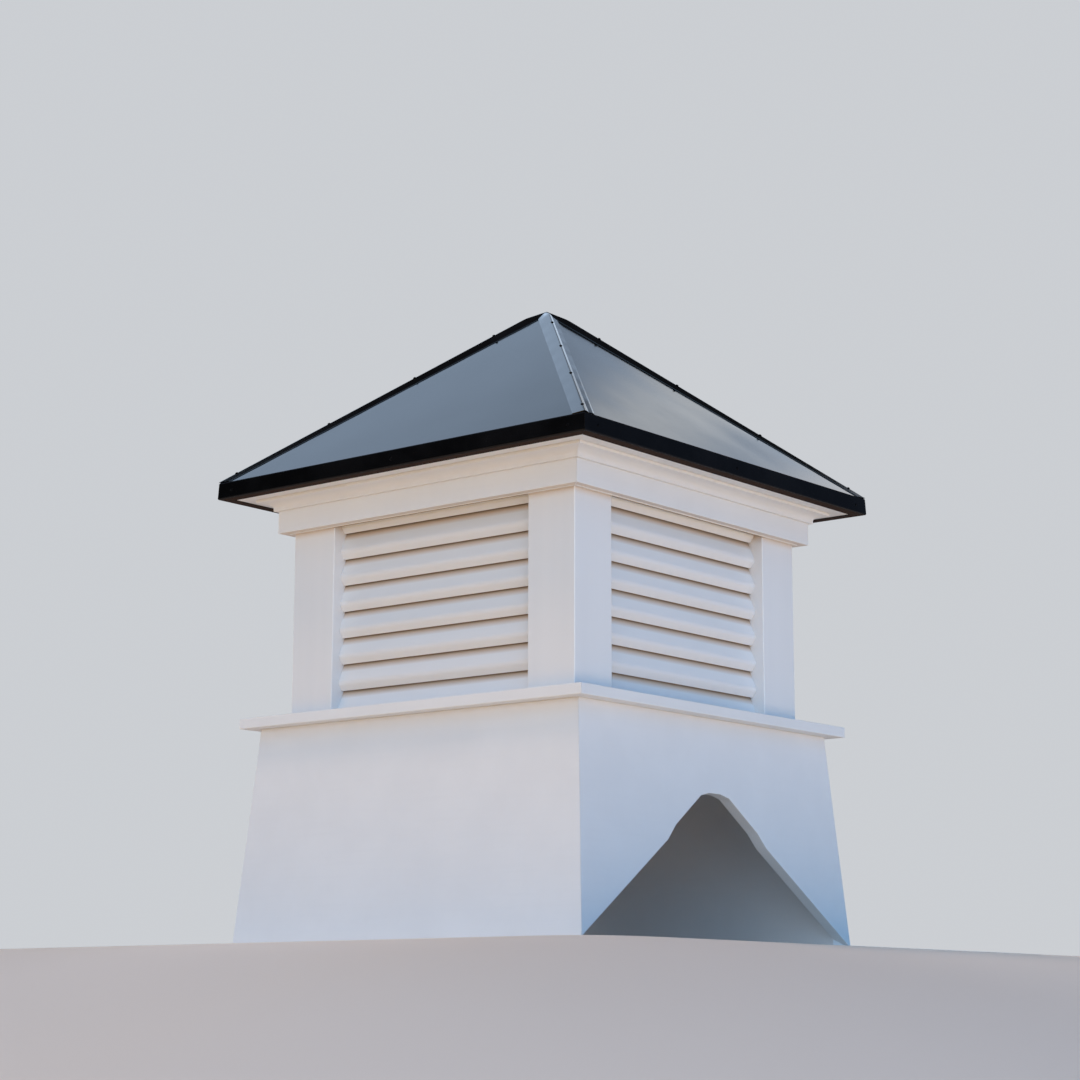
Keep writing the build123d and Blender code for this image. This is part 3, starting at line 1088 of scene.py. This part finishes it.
@dataclass
class HipCaps:
    """The strips over the hips and their screws.

    A strip is bent along a crest that rises toward the apex, where it is bevelled. The front right one has a
    flange creased along the crest, pressed flat on its panel and gaping near the eave.
    """

    roof: HipRoof
    creased: bool = False
    flange: float = 17.0 * MM
    sheet: float = 1.0 * MM
    crest_at_eave: float = 2.7 * MM
    crest_at_apex: float = 9.5 * MM
    crest_rounding: float = 1.3 * MM
    bevel_run: float = 22.0 * MM
    bevel_end: float = 2.0 * MM
    mitre_gap: float = 1.0 * MM
    seat_gap: float = 0.1 * MM
    underside_share: float = 0.9
    ripple: float = 0.25 * MM
    ripple_turns: tuple[float, float] = (37.0, 71.0)
    ripple_shift: float = 1.3
    ripple_fade: float = 50.0 * MM
    crease: tuple[float, float] = (0.33, 0.40)
    gape: float = 0.45 * MM
    gape_share: float = 0.86
    crest_columns: tuple[float, ...] = (0.35, 0.7, 1.0)
    facet_columns: tuple[float, ...] = (0.2, 0.31)
    flange_columns: tuple[float, ...] = (0.42, 0.6, 0.83, 0.86, 0.92, 0.97, 1.0)
    strip_rows: int = 64
    bevel_rows: int = 12
    bevel_shares: tuple[float, float] = (0.955, 0.958)
    passes: int = 3
    screw_places: tuple[float, ...] = (59.0 * MM, 150.0 * MM, 247.0 * MM, 350.0 * MM)
    screw_sink: float = 0.7 * MM

    def __post_init__(self) -> None:
        """Works out the hip's length and directions: along it, level across it and square to both."""
        half, rise = self.roof.half, self.roof.apex_z - self.roof.eave_z
        self.length = math.hypot(half * math.sqrt(2), rise)
        self.along = np.array([-half, half, rise]) / self.length
        self.across = np.array([1.0, 1.0, 0.0]) / math.sqrt(2)
        self.square = np.cross(self.across, self.along)
        self.square *= np.sign(self.square[2])
        self.foot = np.array([half, -half, self.roof.eave_z + self.seat_gap])
        self.pace = half / self.length
        slope = rise / half
        fall = math.atan(slope / math.sqrt(2 + slope ** 2))
        self.top_u = self.flange * math.cos(fall) + self.sheet * math.sin(fall)
        self.top_v = -self.flange * math.sin(fall) + self.sheet * math.cos(fall)
        self.level_share = half * math.sqrt(2) / self.length

    def crest(self, distance: np.ndarray | float) -> np.ndarray | float:
        """The crest's height square to the hip, which grows evenly from eave to apex."""
        grown = (self.crest_at_apex - self.crest_at_eave) * distance / self.length
        return (self.crest_at_eave + grown) * self.level_share

    def section(self, distance: np.ndarray, columns: np.ndarray) -> tuple[np.ndarray, np.ndarray]:
        """Places across and heights of the strip's top at each distance along the hip.

        The two facets fall in straight lines from the crest to the flanges' edges, and the crest is rounded:
        within r of it, the distance u from it counts as (u u + r r) / (2 r). From the bevel's foot on, the
        crest comes down in a straight line to its end at the apex. A slight ripple moves the edges sideways.

        Args:
            distance: distance along the hip for each point.
            columns: signed share of the facet's width for each column, 0 on the crest.

        Returns:
            Places across and heights, both in the shape of distance.
        """
        bevel_foot = (self.roof.half - self.bevel_run) / self.pace
        bevel = np.interp(distance, [bevel_foot, self.length],
                          [self.crest(bevel_foot), self.bevel_end * self.level_share])
        crest = np.where(distance > bevel_foot, bevel, self.crest(distance))
        size = np.abs(columns) * self.top_u
        bent = np.where(size > self.crest_rounding, size,
                        (size ** 2 + self.crest_rounding ** 2) / (2 * self.crest_rounding))
        height = crest - (crest - self.top_v) / self.top_u * bent
        if self.creased:
            height = np.where(columns > 0, self.pressed(distance, columns, height), height)
        to_end = np.minimum(distance, self.length - distance)
        first, second = self.ripple_turns
        waving = np.sin(distance * first + self.ripple_shift) * np.sin(distance * second)
        ripple = self.ripple * waving * np.clip(to_end / self.ripple_fade, 0, 1) * np.abs(columns)
        return np.sign(columns) * (size + ripple), height

    def pressed(self, distance: np.ndarray, columns: np.ndarray, tent: np.ndarray) -> np.ndarray:
        """Heights of a flange that was pressed flat on its panel when it was fixed.

        Up to the crease the flange keeps the tent's height, across the crease it drops in a straight line,
        and beyond it lies on the panel. Over the lower half of the hip it gapes there: it rises in a straight
        line to the gape's share of the width and comes down again to its edge.

        Args:
            distance: distance along the hip for each point.
            columns: share of the facet's width.
            tent: the heights without the crease.

        Returns:
            The heights with the crease.
        """
        start, end = self.crease
        slope = self.roof.slope
        fall = slope / math.sqrt(2 + slope ** 2)
        flat = self.top_v + (1 - columns) * self.top_u * fall
        low = np.clip(1 - 2 * distance / self.length, 0, 1)
        rise = np.clip((columns - end) / (self.gape_share - end), 0, 1) * np.clip(
            (1 - columns) / (1 - self.gape_share), 0, 1)
        dropped = np.clip((columns - start) / (end - start), 0, 1)
        return tent + (flat + self.gape * low * rise - tent) * dropped

    def face(self, below: float) -> np.ndarray:
        """The strip's top, or its underside, as a grid of two parameters.

        Point (w, column) lies at foot + along d + across u + square v, where u and v are the section at d.
        The distance d runs evenly with w from the planes of the two eaves to those of the mitres at the apex,
        and is found in a few passes, because u and v depend on it.

        Args:
            below: how far the face lies under the strip's top.

        Returns:
            Points as (rows, columns, 3).
        """
        crest = self.crest_rounding / self.top_u * np.array(self.crest_columns)
        half = np.concatenate([crest, self.facet_columns, self.crease, self.flange_columns])
        columns = np.concatenate([-half[::-1], [0.0], half])
        strip_end, bevel_start = self.bevel_shares
        ramp = np.concatenate([np.linspace(0, strip_end, self.strip_rows),
                               np.linspace(bevel_start, 1, self.bevel_rows)])[:, None]
        distance = np.repeat(ramp * self.length, len(columns), axis=1)
        for _ in range(self.passes):
            u, v = self.section(distance, columns)
            lean = v * self.square[0] / self.pace
            sideways = np.abs(u) / math.sqrt(2) / self.pace
            lowest = sideways + lean
            highest = (self.roof.half - self.mitre_gap / 2) / self.pace - sideways + lean
            distance = lowest + ramp * (highest - lowest)
        u, v = self.section(distance, columns)
        v = v - below
        d, u, v = (part[..., None] for part in (distance, u, v))
        return self.foot + d * self.along + u * self.across + v * self.square

    def build(self, palette: Palette) -> None:
        """Builds the four caps and the screws along their crests."""
        maker = PanHead()
        heads = []
        for place in self.screw_places:
            distance = (self.roof.half - place) / self.pace
            seat = self.crest(distance) - self.screw_sink
            heads.append(maker.head(self.foot + self.along * distance + self.square * seat, self.square))
        screws = Surface.joined(heads)
        for corner in Corner:
            cap = replace(self, creased=corner is Corner.FRONT_RIGHT)
            strip = Surface.slab(cap.face(0.0), cap.face(cap.sheet * cap.underside_share))
            raise_piece("hip_strip", corner, strip, palette.cap, "hip_cap")
            raise_piece("hip_screws", corner, screws, palette.screw)


@dataclass
class PanHead:
    """A small pan head screw with a four-lobed recess.

    A row of the profile gives shares of the radius and the height, and of the recess's lobes.
    """

    radius: float = 2.4 * MM
    height: float = 1.5 * MM
    lobes: int = 4
    lobe_depth: float = 0.3
    around: int = 32
    profile: tuple[tuple[float, float, float], ...] = (
        (0.16, 0.4, 1), (0.2, 0.86, 1), (0.3, 0.97, 1), (0.34, 1.0, 0.4), (0.62, 0.95, 0), (0.82, 0.8, 0),
        (0.95, 0.5, 0), (1.0, 0.2, 0), (1.0, -0.15, 0),
    )

    def head(self, seat: np.ndarray, axis: np.ndarray) -> Surface:
        """One head: a profile of radius and height turned about the axis.

        The point at turn a of a profile row is seat + axis h + (side cos a + up sin a) r, and in the recess
        the radius is r (1 + depth cos(lobes a)).

        Args:
            seat: where the underside sits.
            axis: the direction that the head faces.

        Returns:
            The closed head.
        """
        share = np.array(self.profile)
        turn = np.linspace(0, 2 * math.pi, self.around, endpoint=False)
        lobed = 1 + self.lobe_depth * share[:, 2:] * np.cos(self.lobes * turn)
        radius = self.radius * share[:, :1] * lobed
        axis = axis / np.linalg.norm(axis)
        side = np.cross(axis, [0.0, 0.0, 1.0])
        side /= np.linalg.norm(side)
        up = np.cross(side, axis)
        spokes = np.cos(turn)[:, None] * side + np.sin(turn)[:, None] * up
        grid = seat + (self.height * share[:, 1])[:, None, None] * axis + radius[..., None] * spokes
        return Surface.ring_grid(grid, np.full(grid.shape[:2], PLAIN))


@dataclass
class FasciaScrews:
    """Three screws in each fascia: one near each end and one in the middle."""

    roof: HipRoof
    places: tuple[float, ...] = (-340.0 * MM, 3.0 * MM, 340.0 * MM)
    rise: float = 12.4 * MM
    head_height: float = 0.5 * MM

    def build(self, palette: Palette) -> None:
        """Builds the screws of the four fascias, which sit square on the leaning sheet."""
        lean = self.roof.fascia_lean / self.roof.fascia_height
        out = self.roof.foot_out - lean * self.rise
        axis = np.array([0.0, -1.0, lean])
        maker = PanHead(height=self.head_height)
        height = self.roof.fascia_bottom + self.rise
        screws = Surface.joined([maker.head(np.array([x, -out, height]), axis) for x in self.places])
        for side in Side:
            raise_piece("fascia_screws", side, screws, palette.screw)


# Studio


@dataclass(frozen=True)
class SoftBox:
    """A soft-edged part of the dome that gives light: heading, half width and heights in degrees, and colour.

    Heading 0 is +X and 90 is +Y.
    """

    heading: float
    half_width: float
    low: float
    high: float
    colour: Colour
    side_fade: float = 8.0
    fade: float = 3.0


@dataclass(frozen=True)
class SoftLamp:
    """A wide, soft lamp: the direction it shines from, its angle in degrees, its strength and colour."""

    name: str
    source: tuple[float, float, float]
    angle: float
    strength: float
    colour: tuple[float, float, float]

    def hang(self) -> None:
        """Adds the lamp, turned so that it shines from its source toward the cupola."""
        lamp = bpy.data.lights.new(self.name, "SUN")
        lamp.energy = self.strength
        lamp.color = self.colour
        lamp.angle = math.radians(self.angle)
        holder = bpy.data.objects.new(self.name, lamp)
        holder.rotation_mode = "QUATERNION"
        holder.rotation_quaternion = Vector(self.source).to_track_quat("Z", "Y")
        bpy.context.scene.collection.objects.link(holder)


@dataclass
class Studio:
    """Floor, dome, lamps and camera."""

    camera_place: tuple[float, float, float] = (2.38329, -2.92669, -0.10962)
    camera_yaw: float = 39.3085
    camera_pitch: float = 11.2876
    camera_roll: float = 0.147
    focal_share: float = 2397.65 / 1080.0
    sensor: float = 36.0
    camera_reach: float = 100.0
    floor_reach: float = 12.0
    floor_lines: int = 241
    floor_crowding: float = 2.2
    floor_clear: float = 10.0 * MM
    floor_radius: float = 2.25
    floor_steepest: float = 0.6
    backdrop: Colour = (0.60, 0.62, 0.65, 1.0)
    dome: Colour = (0.02, 0.022, 0.026, 1.0)
    boxes: tuple[SoftBox, ...] = (
        SoftBox(147.5, 9.0, 20.0, 46.0, (0.90, 1.18, 1.57, 1.0), 3.0),
        SoftBox(131.0, 9.0, 28.0, 52.0, (0.55, 0.70, 0.90, 1.0), 3.0),
        SoftBox(114.5, 8.5, 19.0, 33.5, (0.50, 0.65, 0.87, 1.0), 3.0, 1.0),
        SoftBox(114.6, 0.9, 26.0, 33.5, (0.66, 0.57, 0.42, 1.0), 0.8, 1.0),
        SoftBox(109.0, 2.6, 24.0, 33.0, (0.75, 0.60, 0.42, 1.0), 0.8, 1.0),
        SoftBox(118.5, 6.0, 19.0, 28.0, (0.42, 0.48, 0.54, 1.0), 4.0, 1.0),
        SoftBox(-62.0, 112.0, 22.0, 70.0, (0.02, 0.12, 0.27, 1.0)),
        SoftBox(-130.0, 35.0, 24.0, 50.0, (0.06, 0.10, 0.16, 1.0)),
        SoftBox(-60.0, 30.0, 24.0, 50.0, (0.88, 1.10, 1.40, 1.0)),
        SoftBox(0.0, 30.0, 24.0, 50.0, (0.10, 0.30, 0.61, 1.0)),
        SoftBox(-92.0, 22.0, -3.0, 18.0, (1.53, 1.72, 1.91, 1.0)),
        SoftBox(-48.0, 22.0, -3.0, 18.0, (1.09, 1.58, 2.20, 1.0)),
        SoftBox(0.0, 26.0, -3.0, 18.0, (0.12, 0.70, 1.50, 1.0)),
        SoftBox(-92.0, 42.0, -28.0, -7.0, (1.20, 0.655, 0.09, 1.0)),
        SoftBox(0.0, 42.0, -28.0, -7.0, (2.61, 2.135, 1.69, 1.0)),
        SoftBox(-46.0, 16.0, -28.0, -7.0, (0.50, 0.225, 0.0, 1.0)),
        SoftBox(54.0, 22.0, -3.0, 24.0, (0.07, 0.10, 0.17, 1.0)),
        SoftBox(112.0, 24.0, -3.0, 15.0, (2.0, 2.05, 2.1, 1.0)),
        SoftBox(178.0, 26.0, -3.0, 15.0, (1.8, 1.9, 2.1, 1.0)),
    )
    lamps: tuple[SoftLamp, ...] = (
        SoftLamp("front lamp", (-0.25, -0.30, 0.92), 18.0, 1.028, (1.0, 0.683, 0.443)),
    )

    def lay_floor(self) -> None:
        """Lays the floor: flat under and behind the cupola, rolled off toward the low camera.

        The grid's lines crowd toward the middle by a power. With s the distance past the flat part toward the
        front or the right, the height is -s s / (2 R) until the slope reaches its steepest, and falls evenly
        beyond.
        """
        even = np.linspace(-1, 1, self.floor_lines)
        line = np.sign(even) * np.abs(even) ** self.floor_crowding * self.floor_reach
        x, y = np.meshgrid(line, line)
        s = np.hypot(np.maximum(0, x - self.floor_edge_x), np.maximum(0, self.floor_edge_y - y))
        bend = np.minimum(s, self.floor_steepest * self.floor_radius)
        z = -(bend ** 2) / (2 * self.floor_radius) - self.floor_steepest * (s - bend)
        cells = grid_cells(np.arange(x.size).reshape(x.shape))
        mesh = bpy.data.meshes.new("floor")
        mesh.from_pydata(np.stack([x, y, z], axis=-1).reshape(-1, 3).tolist(), [], cells.tolist())
        mesh.polygons.foreach_set("use_smooth", np.ones(len(mesh.polygons), bool))
        mesh.materials.append(FloorPaper().material())
        floor = bpy.data.objects.new("floor", mesh)
        bpy.context.scene.collection.objects.link(floor)

    @property
    def floor_edge_x(self) -> float:
        """Where the floor begins to fall off to the right."""
        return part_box("base_panel_right")[1].x + self.floor_clear

    @property
    def floor_edge_y(self) -> float:
        """Where the floor begins to fall off to the front."""
        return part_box("base_panel_front")[0].y - self.floor_clear

    def raise_dome(self) -> None:
        """Lights the dome: dim all over, with soft boxes on it, and a plain backdrop for the camera alone."""
        world = bpy.data.worlds.new("dome")
        bpy.context.scene.world = world
        world.use_nodes = True
        desk = NodeDesk(world.node_tree)
        toward = desk.add("TexCoord").outputs["Generated"]
        height = desk.add("SeparateXYZ", {0: toward}).outputs["Z"]
        level = desk.add("VectorMath", {0: toward, 1: (1.0, 1.0, 0.0)}, operation="MULTIPLY").outputs[0]
        heading = desk.add("VectorMath", {0: level}, operation="NORMALIZE").outputs["Vector"]
        light: Any = self.dome
        for box in self.boxes:
            aim = math.radians(box.heading)
            facing = (math.cos(aim), math.sin(aim), 0.0)
            near = desk.add("VectorMath", {0: heading, 1: facing}, operation="DOT_PRODUCT").outputs["Value"]
            wide, narrow = box.half_width + box.side_fade, box.half_width - box.side_fade
            share = desk.fade(near, math.cos(math.radians(wide)), math.cos(math.radians(narrow)))
            low, high = (tuple(math.sin(math.radians(angle + spread)) for spread in (-box.fade, box.fade))
                         for angle in (box.low, box.high))
            above = desk.fade(height, *low)
            below = desk.math("SUBTRACT", 1.0, desk.fade(height, *high))
            share = desk.math("MULTIPLY", desk.math("MULTIPLY", above, below), share)
            light = desk.blend(share, light, box.colour, "ADD")
        lit = desk.add("Background", {"Color": light})
        plain = desk.add("Background", {"Color": self.backdrop})
        rays = desk.add("LightPath")
        choice = desk.add("MixShader", {0: rays.outputs["Is Camera Ray"], 1: lit.outputs[0],
                                        2: plain.outputs[0]})
        desk.add("OutputWorld", {"Surface": choice.outputs[0]})

    def set_camera(self) -> None:
        """Sets the camera: forward from yaw and pitch, then the image turned by the roll."""
        angles = (self.camera_yaw, self.camera_pitch, self.camera_roll)
        yaw, pitch, roll = (math.radians(angle) for angle in angles)
        forward = Vector((-math.sin(yaw) * math.cos(pitch), math.cos(yaw) * math.cos(pitch), math.sin(pitch)))
        level = Vector((math.cos(yaw), math.sin(yaw), 0))
        upright = level.cross(forward)
        right = math.cos(roll) * level + math.sin(roll) * upright
        up = math.cos(roll) * upright - math.sin(roll) * level
        data = bpy.data.cameras.new("camera")
        data.sensor_width = self.sensor
        data.lens = self.focal_share * self.sensor
        data.clip_end = self.camera_reach
        camera = bpy.data.objects.new("camera", data)
        camera.matrix_world = Matrix.Translation(self.camera_place) @ Matrix(
            (right, up, -forward)).transposed().to_4x4()
        bpy.context.scene.collection.objects.link(camera)
        bpy.context.scene.camera = camera

    def build(self) -> None:
        """Sets up the whole studio."""
        self.lay_floor()
        self.raise_dome()
        for lamp in self.lamps:
            lamp.hang()
        self.set_camera()
        bpy.context.scene.view_settings.view_transform = "Standard"


def main() -> None:
    """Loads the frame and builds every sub-assembly in order."""
    logging.basicConfig(level=logging.INFO, format="%(name)s: %(message)s")
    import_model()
    palette = Palette.mixed()
    FlaredBase().build(palette)
    SillShelf().build(palette)
    CornerPosts().build(palette)
    LouvreBays().build(palette)
    HeadAndCrown().build(palette)
    EaveBoards().build(palette)
    roof = HipRoof()
    roof.build(palette)
    HipCaps(roof).build(palette)
    FasciaScrews(roof).build(palette)
    Studio().build()


if __name__ == "__main__":
    main()
